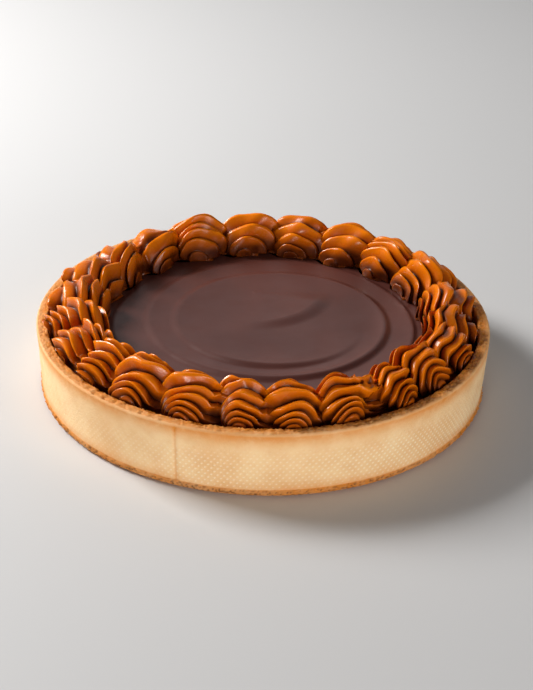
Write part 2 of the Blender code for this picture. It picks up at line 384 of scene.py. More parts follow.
@dataclass(frozen=True)
class SetGanache:
    """Set ganache with a satin skin and faint spatula marks."""

    lit: tuple[float, float, float] = (0.100, 0.029, 0.021)
    deep: tuple[float, float, float] = (0.075, 0.019, 0.013)
    cloud_scale: float = 26.0
    polish_scale: float = 60.0
    polish_play: tuple[float, float] = (-0.04, 0.05)
    skin_scale: float = 1500.0
    skin_depth: float = 0.03 * MM
    smear_scale: float = 90.0
    smear_depth: float = 0.1 * MM
    roughness: float = 0.40
    specular: float = 0.5

    def material(self) -> bpy.types.Material:
        """Build the node material.

        Returns:
            The finished material.
        """
        w = Wiring("ganache_set")
        cloud = w.noise(self.cloud_scale, 3.0, 0.5)
        smooth_part, dull_part = (self.roughness + play for play in self.polish_play)
        polish = w.spread(w.noise(self.polish_scale, 3.0), 0.3, 0.7, smooth_part, dull_part)
        w.shade(Base_Color=w.blend(w.spread(cloud, 0.3, 0.7), self.deep, self.lit), Roughness=polish,
                Specular_IOR_Level=self.specular)
        skin = w.relief(w.noise(self.skin_scale, 2.0, 0.5), self.skin_depth)
        w.shade(Normal=w.relief(w.noise(self.smear_scale, 2.0, 0.4), self.smear_depth, skin))
        return w.material


@dataclass(frozen=True)
class PipedCaramel:
    """Glossy piped caramel with painted light: painted highlight on the ridges, painted shade in the grooves,
    low down and on the tails.
    """

    # Painted light colours: the ridge colour is painted highlight and the groove colour painted shade.
    ridge: tuple[float, float, float] = (0.80, 0.197, 0.001)
    body: tuple[float, float, float] = (0.50, 0.100, 0.0008)
    groove_shade: tuple[float, float, float] = (0.070, 0.010, 0.0005)
    groove_span: tuple[float, float] = (0.06, 0.58)
    ridge_span: tuple[float, float] = (0.5, 1.0)
    cloud_scale: float = 120.0
    cloud_share: float = 0.25
    polish_scale: float = 240.0
    polish_play: tuple[float, float] = (-0.05, 0.09)
    roughness: float = 0.23
    groove_dullness: float = 0.14
    dull_span: tuple[float, float] = (0.1, 0.6)
    grain_scale: float = 700.0
    grain_depth: float = 0.08 * MM
    specular: float = 0.24
    glow: float = 0.08
    glow_radius: tuple[float, float, float] = (6.0 * MM, 2.0 * MM, 0.6 * MM)
    glow_scale: float = 0.5

    def material(self) -> bpy.types.Material:
        """Build the node material.

        Returns:
            The finished material.
        """
        w = Wiring("caramel_piped")
        # The ridge mark is painted light: painted shade in the grooves, low down and on the tails, painted
        # highlight on the ridge tops.
        height = w.mark("ridge")
        base = w.blend(w.spread(height, *self.groove_span), self.groove_shade, self.body)
        base = w.blend(w.spread(height, *self.ridge_span), base, self.ridge)
        cloud = w.spread(w.noise(self.cloud_scale, 3.0, 0.5), 0.35, 0.7)
        base = w.blend(w.math("MULTIPLY", cloud, self.cloud_share), base, self.body)
        smooth_part, dull_part = (self.roughness + play for play in self.polish_play)
        polish = w.spread(w.noise(self.polish_scale, 3.0), 0.3, 0.7, smooth_part, dull_part)
        dullness = w.spread(height, *self.dull_span, self.groove_dullness, 0.0)
        w.shade(Base_Color=base, Roughness=w.math("ADD", polish, dullness))
        w.shade(Specular_IOR_Level=self.specular, Subsurface_Weight=self.glow,
                Subsurface_Radius=self.glow_radius, Subsurface_Scale=self.glow_scale)
        w.shade(Normal=w.relief(w.noise(self.grain_scale, 3.0, 0.55), self.grain_depth))
        return w.material


@dataclass(frozen=True)
class PaleFloor:
    """Plain pale floor."""

    tone: tuple[float, float, float] = (0.61, 0.61, 0.615)
    roughness: float = 0.6

    def material(self) -> bpy.types.Material:
        """Build the node material.

        Returns:
            The finished material.
        """
        w = Wiring("floor_pale")
        w.shade(Base_Color=self.tone, Roughness=self.roughness)
        return w.material


@dataclass
class CrustCup:
    """Straight-sided crust with the raised dots of its baking ring, a crumbly rim and foot."""

    height: float = 35.0 * MM
    foot_radius: float = 114.0 * MM
    rim_radius: float = 116.0 * MM
    wall: float = 6.0 * MM
    floor: float = 4.0 * MM
    foot_profile: tuple[tuple[float, float, float], ...] = (
        (-0.0022, 0.0, 0.0), (-0.0003, 0.0003, 0.0005), (0.0004, 0.0009, 0.0010), (0.0006, 0.0016, 0.0012),
        (0.0007, 0.0024, 0.0011), (0.0006, 0.0031, 0.0009), (0.0003, 0.0036, 0.0005),
    )
    foot_lift: float = 0.3 * MM
    foot_limit: float = 0.5 * MM
    band_height: float = 2.8 * MM
    wall_span: tuple[float, float] = (2.25, 18.9)
    wall_step: float = 0.25
    wall_grain: float = 0.08 * MM
    wall_waves: float = 0.15 * MM
    edge_grain: float = 0.1 * MM
    edge_drop: float = 0.0010
    shoulder_drop: float = 0.0004
    shoulder_inset: float = 0.0006
    rim_rows: int = 9
    rim_inset: float = 0.0012
    rim_trim: float = 0.0018
    rim_sink: float = 0.00035
    rim_crumb: float = 0.5 * MM
    inside_bevel: float = 0.0002
    inside_drop: float = 0.0030
    dot_pitch: float = 3.05 * MM
    dot_rows: float = 1.77 * MM
    dot_radius: float = 0.62 * MM
    dot_height: float = 0.32 * MM
    dot_top: float = 28.0 * MM
    dot_top_fade: float = 11.0 * MM
    dot_low_fade: float = 1.5 * MM
    plain_side_dots: float = 0.35
    samples_per_dot: int = 4
    seam_deg: float = -109.6
    seam_width: float = 0.7 * MM
    seam_depth: float = 0.35 * MM
    seam_darkening: float = 0.45
    foot_toast: float = 0.75
    lip_toast: float = 0.40
    rim_toast: float = 0.80
    brown_from: float = 24.0 * MM
    brown_fade: float = 10.0 * MM
    low_toast: float = 0.55
    low_brown_to: float = 10.0 * MM
    low_brown_fade: float = 6.5 * MM
    foot_char: float = 0.24
    pit_shade: float = 0.70
    char_top: float = 3.7 * MM
    stain_reach: float = 0.9
    stain_play: float = 1.5
    finish: Shortcrust = field(default_factory=Shortcrust)

    @property
    def sides(self) -> int:
        """Points in one ring."""
        return self.samples_per_dot * round(2.0 * math.pi * self.rim_radius / self.dot_pitch)

    def seam(self, turn: np.ndarray) -> np.ndarray:
        """Share of the upright seam at each angle round the wall, 1 on its line."""
        off = (turn - math.radians(self.seam_deg) + math.pi) % (2.0 * math.pi) - math.pi
        return np.exp(-((off * self.rim_radius / self.seam_width) ** 2))

    def dots(self, turn: np.ndarray, z: np.ndarray) -> np.ndarray:
        """Pattern of the staggered raised dots.

        Args:
            turn: angle round the wall, in radians.
            z: height up the wall, in metres.

        Returns:
            The share of the full relief.
        """
        arc = turn * self.sides / self.samples_per_dot / (2.0 * math.pi)
        row = z / self.dot_rows
        nearest = np.round(row)
        shifted = arc + 0.5 * (nearest % 2)
        across = (shifted - np.round(shifted)) * self.dot_pitch
        away = np.hypot(across, (row - nearest) * self.dot_rows)
        form = 1.0 - smooth(away / self.dot_radius)
        fade = smooth((self.dot_top - z) / self.dot_top_fade)
        fade = fade * smooth((z - self.band_height) / self.dot_low_fade)
        weak = 0.80 + 0.35 * wobble(Seed.DOTS, np.cos(turn) * 3.0, np.sin(turn) * 3.0, z * 90.0)
        past_seam = smooth((turn - math.radians(self.seam_deg + 360.0)) / 0.35 + 0.5)
        side = self.plain_side_dots + (1.0 - self.plain_side_dots) * past_seam
        return form * fade * np.clip(weak, 0.2, 1.1) * side

    def rows(self) -> list[tuple[float, float, float, Zone]]:
        """Profile rows from the middle of the foot up the wall and over the rim.

        Returns:
            Radius, height, crumb size in metres and the zone of each row.
        """
        foot, rim, top = self.foot_radius, self.rim_radius, self.height
        rows = [(foot + out, z, crumb, Zone.FOOT) for out, z, crumb in self.foot_profile]
        for z in np.arange(*self.wall_span, self.wall_step) * self.dot_rows:
            rows.append((foot + (rim - foot) * z / top, z, self.wall_grain, Zone.WALL))
        rows += [(rim - self.edge_grain, top - self.edge_drop, self.edge_grain, Zone.LIP),
                 (rim - self.shoulder_inset, top - self.shoulder_drop, self.edge_grain, Zone.LIP)]
        for share in np.linspace(0.0, 1.0, self.rim_rows):
            radius = rim - self.rim_inset - share * (self.wall - self.rim_trim)
            rows.append((radius, top - self.rim_sink, self.rim_crumb, Zone.RIM))
        inside = rim - self.wall
        rows += [(inside + self.inside_bevel, top - self.edge_drop, self.inside_bevel, Zone.INSIDE),
                 (inside, top - self.inside_drop, 0.0, Zone.INSIDE), (inside, self.floor, 0.0, Zone.INSIDE)]
        return rows

    def build(self) -> list[bpy.types.Object]:
        """Make the cup.

        Returns:
            The piece that stands for the crust.
        """
        rng = np.random.default_rng(Seed.CRUMB)
        turn = np.linspace(0.0, 2.0 * math.pi, self.sides, endpoint=False)
        points, toast, char_and_pit_shade, stain, dot = [], [], [], [], []
        for radius, z, crumb, zone in self.rows():
            coarse = wobble(int(z * 1e6) % 997, np.cos(turn) * 60.0, np.sin(turn) * 60.0, waves=8)
            grain = rng.normal(size=self.sides) * 0.5 + 0.5 * coarse
            reach = radius + crumb * grain * (0.6 if zone is not Zone.RIM else 0.2)
            height = np.full(self.sides, z)
            pattern = np.zeros(self.sides)
            if zone is Zone.WALL:
                pattern = self.dots(turn, height)
                reach = reach + self.dot_height * pattern - self.seam_depth * self.seam(turn)
                waves = wobble(Seed.WALL, np.cos(turn) * 9.0, np.sin(turn) * 9.0, height * 160.0)
                reach = reach + self.wall_waves * waves
            if zone is Zone.RIM:
                height = height + np.minimum(crumb * grain, self.height - z)
            if zone is Zone.FOOT and z > 0.0:
                height = np.maximum(height + self.foot_lift * grain, 0.0)
                reach = np.minimum(reach, self.rim_radius - self.foot_limit)
            points.append(np.stack([reach * np.cos(turn), reach * np.sin(turn), height], axis=-1))
            toast.append(self.toast(turn, radius, z, zone))
            char_and_pit_shade.append(self.char_and_pit_shade(turn, z, zone, grain))
            stain.append(self.stain(turn, radius, zone))
            dot.append(pattern)
        hubs = np.array([[0.0, 0.0, 0.0], [0.0, 0.0, self.floor]])
        marks = {name: np.concatenate([np.ravel(values), [0.0, 0.0]])
                 for name, values in (("toast", toast), ("char_and_pit_shade", char_and_pit_shade), ("stain", stain), ("dot", dot))}
        cup = new_piece("crust_cup", np.vstack(points), self.sides, hubs, self.finish.material(), marks)
        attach(cup, "root")
        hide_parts("crust")
        return [cup]

    def toast(self, turn: np.ndarray, radius: float, z: float, zone: Zone) -> np.ndarray:
        """How brown the crust is at each point of a row.

        Args:
            turn: angle round the cup, in radians.
            radius: the row's radius in metres.
            z: the row's height in metres.
            zone: the row's zone.

        Returns:
            The browning from 0 to 1.
        """
        cloud = wobble(Seed.TOAST, np.cos(turn) * 4.0, np.sin(turn) * 4.0, np.full_like(turn, z * 50.0))
        cloud = 0.5 + 0.5 * cloud
        if zone is Zone.FOOT:
            return np.clip(self.foot_toast + 0.3 * cloud, 0.0, 1.0)
        if zone is Zone.WALL:
            top = smooth((z - self.brown_from) / self.brown_fade) ** 1.5 * (0.6 + 0.4 * cloud)
            low = self.low_toast * smooth((self.low_brown_to - z) / self.low_brown_fade)
            low = low * (0.4 + 0.6 * cloud)
            # The colour is also made darker along the seam line.
            return np.clip(top + low + 0.06 * cloud + self.seam_darkening * self.seam(turn), 0.0, 1.0)
        if zone is Zone.LIP:
            return self.lip_toast + 0.3 * cloud
        inner = smooth((self.rim_radius - radius - self.rim_inset) / (self.wall - 2.0 * MM))
        return np.clip(self.rim_toast + 0.35 * inner * (0.4 + 0.9 * cloud), 0.0, 1.0)

    def char_and_pit_shade(self, turn: np.ndarray, z: float, zone: Zone, grain: np.ndarray) -> np.ndarray:
        """How dark the crumbly foot is at each point of a row: its own browning, with painted shade in its
        pits.

        Args:
            turn: angle round the cup, in radians.
            z: the row's height in metres.
            zone: the row's zone.
            grain: the row's crumb relief.

        Returns:
            The darkness from 0 to 1.
        """
        if zone is not Zone.FOOT:
            return np.zeros_like(turn)
        # Points pushed in by the crumb relief are darkened: painted shade in the pits.
        pits = smooth((-grain - 0.25) / 0.5)
        return np.clip(self.foot_char + self.pit_shade * pits, 0.0, 0.9) * smooth((self.char_top - z) / MM)

    def stain(self, turn: np.ndarray, radius: float, zone: Zone) -> np.ndarray:
        """Where caramel has wetted the rim.

        Args:
            turn: angle round the cup, in radians.
            radius: the row's radius in metres.
            zone: the row's zone.

        Returns:
            The wetness from 0 to 1.
        """
        if zone not in (Zone.RIM, Zone.INSIDE):
            return np.zeros_like(turn)
        depth = (radius - (self.rim_radius - self.wall)) / MM
        patches = wobble(Seed.STAIN, np.cos(turn) * 24.0, np.sin(turn) * 24.0, waves=7)
        return smooth((self.stain_reach + self.stain_play * patches - depth + 0.5) / 0.8)


@dataclass
class Filling:
    """Ganache with the terraces that a spatula winds out from the middle."""

    outer: float = 109.7 * MM
    ledge: float = 95.0 * MM
    first_ring: float = 83.0 * MM
    last_ring: float = 0.5 * MM
    bottom: float = 4.3 * MM
    top: float = 29.0 * MM
    sides: int = 360
    rings: int = 84
    centre: tuple[float, float] = (5.5 * MM, 5.0 * MM)
    turns: int = 4
    first_arm: float = 45.0 * MM
    step: float = 9.0 * MM
    step_growth: float = 2.6 * MM
    rise: float = 1.8 * MM
    bank_slope: float = 0.25
    drop: float = 5.0 * MM
    start_turn: float = 0.30
    deepest_deg: float = -35.0
    least_relief: float = 0.35
    limit: float = 79.5 * MM
    limit_fade: float = 3.0 * MM
    grain: float = 0.12 * MM
    grain_scale: float = 60.0
    hook_centre: tuple[float, float] = (-6.2 * MM, 37.6 * MM)
    hook_radius: float = 35.1 * MM
    hook_rise: float = 1.5 * MM
    hook_bank: float = 14.0 * MM
    hook_drop: float = 9.0 * MM
    hook_arc: tuple[float, float] = (-105.0, 5.0)
    hook_start: float = 2.2
    hook_stop: float = 4.0
    finish: SetGanache = field(default_factory=SetGanache)

    def arm(self, turns: np.ndarray) -> np.ndarray:
        """Distance of the swirl's edge from its centre after so many clockwise turns."""
        return self.first_arm + self.step * turns + self.step_growth * turns**2

    def swirl(self, x: np.ndarray, y: np.ndarray) -> np.ndarray:
        """Height of the spiral terraces.

        Args:
            x: points' x in metres.
            y: points' y in metres.

        Returns:
            The height in metres.
        """
        dx, dy = x - self.centre[0], y - self.centre[1]
        radius = np.hypot(dx, dy)
        part = (-np.arctan2(dy, dx) / (2.0 * math.pi)) % 1.0
        relief = np.zeros_like(radius)
        for whole in range(self.turns):
            turns = part + whole
            edge = self.arm(turns)
            first = edge - (1.0 - part) * self.first_arm * 0.5 - part * (self.step + self.step_growth)
            inner = self.arm(turns - 1.0) if whole else first
            strength = smooth(turns / self.start_turn)
            bank = np.clip((radius - inner) / (edge - inner), 0.0, 1.0)
            bank = self.bank_slope * bank + (1.0 - self.bank_slope) * bank**3
            rising = np.where((radius > inner) & (radius <= edge), bank, 0.0)
            falling = np.where(radius > edge, 1.0 - smooth((radius - edge) / self.drop), 0.0)
            relief = np.maximum(relief, strength * (rising + falling))
        facing = np.cos(np.arctan2(dy, dx) - math.radians(self.deepest_deg))
        side = self.least_relief + (1.0 - self.least_relief) * smooth(0.55 + 0.6 * facing)
        return self.rise * relief * side

    def hook(self, x: np.ndarray, y: np.ndarray) -> np.ndarray:
        """Height of the crescent crease near the middle.

        Args:
            x: points' x in metres.
            y: points' y in metres.

        Returns:
            The height in metres.
        """
        dx, dy = x - self.hook_centre[0], y - self.hook_centre[1]
        off = np.hypot(dx, dy) - self.hook_radius
        start, stop = self.hook_arc
        along = (np.degrees(np.arctan2(dy, dx)) - start) / (stop - start)
        strength = smooth(along * self.hook_start) * smooth((1.0 - along) * self.hook_stop)
        bank = np.where(off < 0.0, np.exp(off / self.hook_bank), 1.0 - smooth(off / self.hook_drop))
        return self.hook_rise * strength * bank

    def height(self, x: np.ndarray, y: np.ndarray) -> np.ndarray:
        """Height of the surface, level under the piping.

        Args:
            x: points' x in metres.
            y: points' y in metres.

        Returns:
            The height in metres.
        """
        fade = smooth((self.limit - np.hypot(x, y)) / self.limit_fade)
        grain = self.grain * wobble(Seed.SPATULA, x * self.grain_scale, y * self.grain_scale)
        return self.top + fade * (self.swirl(x, y) + self.hook(x, y) + grain)

    def build(self) -> list[bpy.types.Object]:
        """Make the filling.

        Returns:
            The piece that stands for the ganache.
        """
        turn = np.linspace(0.0, 2.0 * math.pi, self.sides, endpoint=False)
        rings = [(self.outer, self.bottom), (self.outer, self.top), (self.ledge, self.top)]
        rings += [(radius, None) for radius in np.linspace(self.first_ring, self.last_ring, self.rings)]
        points = []
        for radius, z in rings:
            x, y = radius * np.cos(turn), radius * np.sin(turn)
            points.append(np.stack([x, y, self.height(x, y) if z is None else np.full_like(x, z)], axis=-1))
        points = np.vstack(points)
        middle = float(points[-self.sides:, 2].mean())
        hubs = np.array([[0.0, 0.0, self.bottom], [0.0, 0.0, middle]])
        piece = new_piece("ganache_filling", points, self.sides, hubs, self.finish.material())
        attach(piece, "root")
        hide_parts("ganache")
        return [piece]


@dataclass
class PipedShell:
    """One piped shell: ridges that turn over a round head, dip and run out into a tail."""

    index: int
    start_deg: float
    end_deg: float
    ending: Ending = Ending.TUCKED
    ring_radius: float = 95.0 * MM
    inside_limit: float = 109.7 * MM
    rim_height: float = 35.0 * MM
    rim_clearance: float = 0.9 * MM
    base: float = 29.0 * MM
    nominal_pitch: float = 23.7 * MM
    torn_length: float = 1.02
    torn_height: float = 1.04
    height_growth: float = 0.35
    height_play: tuple[float, float] = (-0.03, 0.03)
    breadth_play: tuple[float, float] = (-0.04, 0.02)
    lean_play: tuple[float, float] = (-0.10, 0.10)
    skew_play: tuple[float, float] = (-0.16, 0.16)
    shift_play: tuple[float, float] = (-0.14, 0.14)
    half_width: float = 14.6 * MM
    head_along: float = 12.0 * MM
    head_up: float = 8.3 * MM
    inner_drop: float = 7.4 * MM
    front_inner_drop: float = 3.0 * MM
    outer_drop: float = 4.6 * MM
    head_radius: float = 11.3 * MM
    head_stretch: float = 1.2
    head_end: float = math.radians(33.0)
    outer_sag: float = math.radians(38.0)
    inner_sag: float = math.radians(42.0)
    sag_curve: float = 1.3
    underside: float = 0.5 * MM
    outer_underside: float = 1.0 * MM
    steepest: float = 0.97
    valley: float = 1.7 * MM
    outer_valley: float = 0.6 * MM
    dip_end: float = math.radians(100.0)
    outer_dip_end: float = math.radians(62.0)
    dip_share: float = 0.7
    tail_share: float = 0.3
    tail_run: float = 9.0 * MM
    tail_hook: float = 5.6 * MM
    tail_slimming: float = 0.20
    inward_tilt: float = 0.18
    inward_fullness: float = 0.15
    outward_fullness: float = 0.45
    inner_narrowing: float = 0.36
    outer_narrowing: float = 0.45
    ridges: int = 8
    ridge_warp: float = 0.84
    front_warp: float = 0.46
    ridge_depth: float = 5.0 * MM
    inner_depth: float = 0.80
    outer_depth: float = 0.27
    depth_play: tuple[float, float] = (0.75, 1.25)
    deepest: float = 0.5
    groove_slant: float = 0.55
    brink: float = 0.80
    brink_play: float = 0.1
    blade: float = 0.5
    outer_blade: float = 0.3
    far_blade: float = 1.2
    ridge_slide: float = 1.1 * MM
    ridge_proud: float = 0.8 * MM
    proudest: float = 2.0 * MM
    tail_melt: float = 0.20
    outer_melt: float = 0.20
    width_play: float = 0.55
    twist: float = 0.5
    twist_from: float = 0.45
    front_deg: float = -112.0
    front_height: float = 0.07
    back_sweep: float = 5.0 * MM
    broad_deg: tuple[float, float] = (480.0, 540.0)
    broad_fewer: int = 2
    broad_depth: float = 0.72
    twisted_deg: tuple[float, float] = (480.0, 590.0)
    twisted_more: float = 2.6
    head_middle_deg: float = 7.0
    overhangs: tuple[tuple[float, float], ...] = ((8.0, 0.20), (152.0, 0.28), (196.0, 0.30))
    overhang_spread: float = 26.0
    sway: float = 0.9 * MM
    ripple: float = 0.8 * MM
    head_rows: int = 54
    dip_rows: int = 26
    tail_rows: int = 14
    columns_per_ridge: int = 12
    foot_line: tuple[float, float] = (9.5 * MM, 31.0 * MM)
    outer_skirt: tuple[tuple[float, float], ...] = ((0.3, 1.0), (0.65, 1.0), (1.0, 0.98))
    inner_skirt: tuple[tuple[float, float], ...] = ((1.0, 0.97), (0.5, 1.0))
    # Painted shade: at the head's start, on the tail, on the skirts and hubs, and low down.
    start_shade: float = 0.1
    tail_shade: float = 0.22
    skirt_shade: float = 0.25
    hub_shade: float = 0.2
    low_shade: float = 0.2
    shade_from: float = 2.0 * MM
    shade_rise: float = 11.0 * MM
    torn_from: float = 19.0 * MM
    torn_pull: float = 0.9
    crumple_up: tuple[float, float] = (6.0 * MM, 3.0 * MM)
    crumple_along: tuple[float, float] = (16.0 * MM, 4.0 * MM)
    crumples: tuple[float, float, float] = (0.9 * MM, 0.8 * MM, 1.6 * MM)
    torn_peaks: tuple[tuple[float, float, float, float], ...] = (
        (20.0 * MM, -2.0 * MM, 17.6 * MM, 1.2 * MM), (22.5 * MM, 4.0 * MM, 17.2 * MM, 1.0 * MM),
        (25.5 * MM, 8.5 * MM, 15.6 * MM, 1.2 * MM), (27.0 * MM, 1.0 * MM, 16.2 * MM, 1.0 * MM),
        (30.5 * MM, 6.0 * MM, 14.8 * MM, 1.1 * MM), (24.0 * MM, -4.5 * MM, 14.6 * MM, 1.2 * MM),
        (33.0 * MM, 2.0 * MM, 13.2 * MM, 1.2 * MM), (29.0 * MM, 11.0 * MM, 13.0 * MM, 1.2 * MM),
    )

    def __post_init__(self) -> None:
        """Draw this shell's own unevenness and fit its form to its place in the ring."""
        rng = np.random.default_rng(Seed.SHELL + self.index)
        torn = self.ending is Ending.TORN
        pitch = math.radians(self.end_deg - self.start_deg) * self.ring_radius
        stretch = pitch / self.nominal_pitch
        self.long = self.torn_length if torn else stretch
        self.tall = self.torn_height if torn else stretch**self.height_growth
        self.tall *= 1.0 + rng.uniform(*self.height_play)
        self.wide = 1.0 + rng.uniform(*self.breadth_play)
        self.lean = rng.uniform(*self.lean_play)
        self.skew = rng.uniform(*self.skew_play)
        # The third value isn't used; drawing it keeps the next draw the same.
        self.wave = rng.uniform(0.0, 2.0 * math.pi, 3)[:2]
        self.shift = rng.uniform(*self.shift_play)
        facing = math.cos(math.radians(self.start_deg - self.front_deg))
        near = float(smooth(0.5 + facing))
        self.warp = self.ridge_warp + self.front_warp * near
        self.inner_drop += (self.front_inner_drop - self.inner_drop) * near
        self.tall *= 1.0 + self.front_height * near
        self.sweep = self.back_sweep * (1.0 - near)
        if self.broad_deg[0] < self.start_deg < self.broad_deg[1]:
            self.ridges -= self.broad_fewer
            self.ridge_depth *= self.broad_depth
        if self.twisted_deg[0] < self.start_deg < self.twisted_deg[1]:
            self.twist *= self.twisted_more
        self.flare = 1.0
        for middle_deg, amount in self.overhangs:
            off = (self.start_deg + self.head_middle_deg - middle_deg + 180.0) % 360.0 - 180.0
            self.flare += amount * math.exp(-((off / self.overhang_spread) ** 2))

    def section_radius(self, phi: np.ndarray, tail: np.ndarray | float) -> np.ndarray:
        """Distance of the ridge tops from the centre line.

        Args:
            phi: angle across the section, 0 inward and pi outward.
            tail: share of the way down the tail.

        Returns:
            The distance in metres.
        """
        slim = 1.0 - self.tail_slimming * smooth((tail - 0.5) / 0.5)
        inward = np.cos(phi)
        squareness = (1.0 - self.inward_fullness * np.clip(inward, 0.0, 1.0)
                      - self.outward_fullness * np.clip(-inward, 0.0, 1.0))
        bulge = np.clip(np.sin(phi), 0.0, 1.0) ** squareness
        return self.head_radius * slim * bulge * (1.0 + self.inward_tilt * inward)

    def path(self, phi: np.ndarray) -> tuple[np.ndarray, np.ndarray, np.ndarray, np.ndarray]:
        """Centre line of the ridges, station by station.

        Args:
            phi: angle across the section, as station by column.

        Returns:
            Centre along, centre up, angle of the section and share of the tail, as station by column.
        """
        station = np.arange(phi.shape[0], dtype=float)[:, None]
        head = np.clip(station / (self.head_rows - 1), 0.0, 1.0)
        dip = np.clip((station - self.head_rows + 1) / self.dip_rows, 0.0, 1.0)
        tail = np.clip((station - self.head_rows + 1 - self.dip_rows) / self.tail_rows, 0.0, 1.0)
        inward, outward = np.clip(np.cos(phi), 0.0, 1.0), np.clip(-np.cos(phi), 0.0, 1.0)
        middle = self.head_up - self.inner_drop * inward - self.outer_drop * outward
        reach = np.maximum(self.section_radius(phi, 0.0), 1e-6)
        lowest = self.underside + (self.outer_underside - self.underside) * smooth(outward * 1.6)
        turn_start = math.pi + np.arcsin(np.clip((middle - lowest) / reach, 0.0, self.steepest))
        turn_end = (self.head_end - self.outer_sag * outward**self.sag_curve
                    - self.inner_sag * inward**self.sag_curve)
        dip_end = self.dip_end + (self.outer_dip_end - self.dip_end) * outward
        angle = turn_start + (turn_end - turn_start) * head + (dip_end - turn_end) * dip
        bend = reach + self.valley + self.outer_valley * outward
        along = self.head_along + bend * (np.cos(turn_end) - np.cos(angle)) * self.head_stretch * (dip > 0.0)
        up = middle + bend * (np.sin(turn_end) - np.sin(angle)) * (dip > 0.0)
        climb = (self.tail_hook * outward * tail - self.tail_run * np.cos(dip_end)) * tail
        share = self.dip_share * dip + self.tail_share * tail
        return along + self.tail_run * tail, up + climb, angle, share

    def columns(self, rng: np.random.Generator) -> tuple[np.ndarray, np.ndarray]:
        """Columns of the grid: each ridge rises slowly to its brink and falls off behind it.

        Args:
            rng: gives each ridge its own brink.

        Returns:
            The place counted in ridges and the ridge height from 0 to 1, for each column.
        """
        fine = self.columns_per_ridge
        column = np.arange(self.ridges * fine + 1)
        part = (column % fine) / fine
        brink = rng.uniform(self.brink - self.brink_play, self.brink + self.brink_play, self.ridges + 1)
        brink = brink[column // fine]
        within = np.where(part < 0.5, 2.0 * part * brink, brink + (2.0 * part - 1.0) * (1.0 - brink))
        place = column // fine + within
        blade = self.blade + self.outer_blade * place / self.ridges
        crest = np.where(part < 0.5, (2.0 * part) ** blade, (2.0 - 2.0 * part) ** self.far_blade)
        return place, crest * (column < column[-1])

    def surface(self) -> tuple[np.ndarray, np.ndarray, np.ndarray, np.ndarray]:
        """Grid of points over the ridges.

        Returns:
            Along, up and across in metres, and the painted light mark from 0 to 1, as station by column.
        """
        rng = np.random.default_rng(Seed.RIDGES + self.index)
        place, crest = self.columns(rng)
        station = np.linspace(0.0, 1.0, self.head_rows + self.dip_rows + self.tail_rows)[:, None]
        share = place / self.ridges + 0.0 * station
        row = station + 0.0 * share
        drift = self.width_play * wobble(Seed.DRIFT + self.index, row * 2.0, share * 2.6)
        drift = (drift + self.twist * (station - self.twist_from)) * np.sin(math.pi * share)
        share = np.clip(share - drift / self.ridges, 0.0, 1.0)
        phi = math.pi * share ** (1.0 / self.warp)
        phi = phi + self.shift * np.sin(phi) ** 2
        inward = np.cos(phi)
        centre_along, centre_up, angle, tail = self.path(phi)
        each = np.arange(self.ridges + 1)
        grooves = np.interp(place, each, rng.uniform(*self.depth_play, self.ridges + 1))
        slide = np.interp(place, each + 0.5, rng.normal(0.0, self.ridge_slide, self.ridges + 1))
        proud = np.interp(place, each + 0.5, rng.normal(0.0, self.ridge_proud, self.ridges + 1))
        proud = proud * (1.0 + 0.6 * wobble(Seed.PROUD + self.index, row * 2.5, share * 6.0))
        proud = np.clip(proud, -self.proudest, self.proudest)
        uneven = 1.0 + 0.25 * wobble(Seed.DEPTH + self.index, row * 2.0, share * 6.0)
        melted = self.tail_melt + self.outer_melt * np.clip(-inward, 0.0, 1.0)
        melted = 1.0 - smooth(tail * 1.2) * melted
        reach = self.section_radius(phi, tail) + proud * np.sin(phi) * (1.0 - tail)
        depth = self.ridge_depth * melted * uneven * grooves * (self.inner_depth + self.outer_depth * share)
        cut = np.minimum(depth, self.deepest * reach) * (1.0 - crest)
        narrowing = np.where(inward > 0.0, self.inner_narrowing * smooth(tail),
                             self.outer_narrowing * smooth((tail - 0.7) / 0.3))
        breadth = self.half_width * self.wide * inward * (1.0 - narrowing)
        across = cut * self.groove_slant * inward - breadth
        swept = self.sweep * np.clip(inward, 0.0, 1.0) ** 2 * (1.0 - tail)
        along = centre_along + swept + slide * np.sin(phi) + (reach - cut) * np.cos(angle) * self.head_stretch
        up = centre_up + (reach - cut) * np.sin(angle)
        return along, up, across, self.shade(crest, station, tail, up)

    def shade(self, crest: np.ndarray, station: np.ndarray, tail: np.ndarray, up: np.ndarray) -> np.ndarray:
        """Painted light that the caramel reads: painted highlight on the ridges, painted shade low down,
        where the head starts and on the tail.

        Args:
            crest: ridge height from 0 to 1 of each column.
            station: share of the way along the shell.
            tail: share of the way down the tail.
            up: height over the ganache in metres.

        Returns:
            The mark from 0 to 1, as station by column.
        """
        # Painted highlight on the crests, fading toward the tail's end.
        light = crest * (1.0 - 0.4 * smooth((tail - 0.62) / 0.3))
        # Painted shade where the head starts on the ganache.
        light = light * (self.start_shade + (1.0 - self.start_shade) * smooth(station * 5.0))
        # Painted shade on the tail, which is tucked under the next head.
        light = light + (self.tail_shade - 0.4 * light) * smooth(tail * 1.3)
        # Painted shade low down near the ganache.
        raised = smooth((up - self.shade_from) / self.shade_rise)
        return light * (self.low_shade + (1.0 - self.low_shade) * raised)

